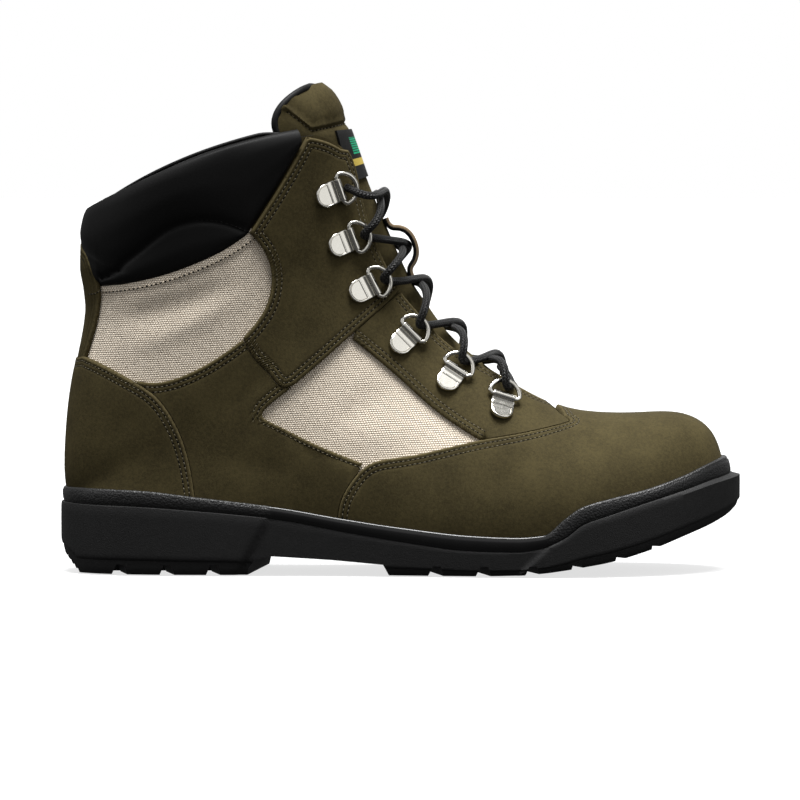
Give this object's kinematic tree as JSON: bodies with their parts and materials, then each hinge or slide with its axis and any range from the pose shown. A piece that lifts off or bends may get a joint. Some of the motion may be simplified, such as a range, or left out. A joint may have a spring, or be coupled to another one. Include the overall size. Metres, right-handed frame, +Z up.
{
  "type": "lace-up field boot",
  "caption": "Ankle-high lace-up field boot for the right foot, with leather panels over a canvas shell, padded collar, D-ring lacing and a lugged rubber sole.",
  "frame": {"origin": "on the floor under the middle of the sole's length and width", "axes": "+X towards the toe, +Y towards the inner side of the foot, +Z up"},
  "size_m": [0.3, 0.1062, 0.2134],
  "materials": {
    "sole_rubber": "matte",
    "rand_rubber": "satin",
    "footbed_foam": "matte",
    "beige_canvas": "coarse weave",
    "olive_nubuck": "nubuck",
    "black_lining": "smooth",
    "nickel_wire": "polished",
    "black_lace": "braided"
  },
  "bodies": {
    "root": {"outsole": "sole_rubber", "rand": "rand_rubber", "insole": "footbed_foam", "upper": "beige_canvas", "heel_counter": "olive_nubuck", "vamp": "olive_nubuck", "heel_strip": "olive_nubuck", "tongue": "olive_nubuck", "lace_keeper": "olive_nubuck", "quarter_lateral": "olive_nubuck", "quarter_medial": "olive_nubuck", "ankle_panel_lateral": "olive_nubuck", "ankle_panel_medial": "olive_nubuck", "eyestay_lateral": "olive_nubuck", "eyestay_medial": "olive_nubuck", "collar": "black_lining", "tongue_label": "black_lining", "ring_lateral_1": "nickel_wire", "ring_lateral_2": "nickel_wire", "ring_lateral_3": "nickel_wire", "ring_lateral_4": "nickel_wire", "ring_lateral_5": "nickel_wire", "ring_lateral_6": "nickel_wire", "ring_medial_1": "nickel_wire", "ring_medial_2": "nickel_wire", "ring_medial_3": "nickel_wire", "ring_medial_4": "nickel_wire", "ring_medial_5": "nickel_wire", "ring_medial_6": "nickel_wire", "clip_lateral_1": "nickel_wire", "clip_lateral_2": "nickel_wire", "clip_lateral_3": "nickel_wire", "clip_lateral_4": "nickel_wire", "clip_lateral_5": "nickel_wire", "clip_lateral_6": "nickel_wire", "clip_medial_1": "nickel_wire", "clip_medial_2": "nickel_wire", "clip_medial_3": "nickel_wire", "clip_medial_4": "nickel_wire", "clip_medial_5": "nickel_wire", "clip_medial_6": "nickel_wire", "lace_crossing_1": "black_lace", "lace_crossing_2": "black_lace", "lace_crossing_3": "black_lace", "lace_crossing_4": "black_lace", "lace_crossing_5": "black_lace", "lace_bar": "black_lace"}
  },
  "joints": []
}
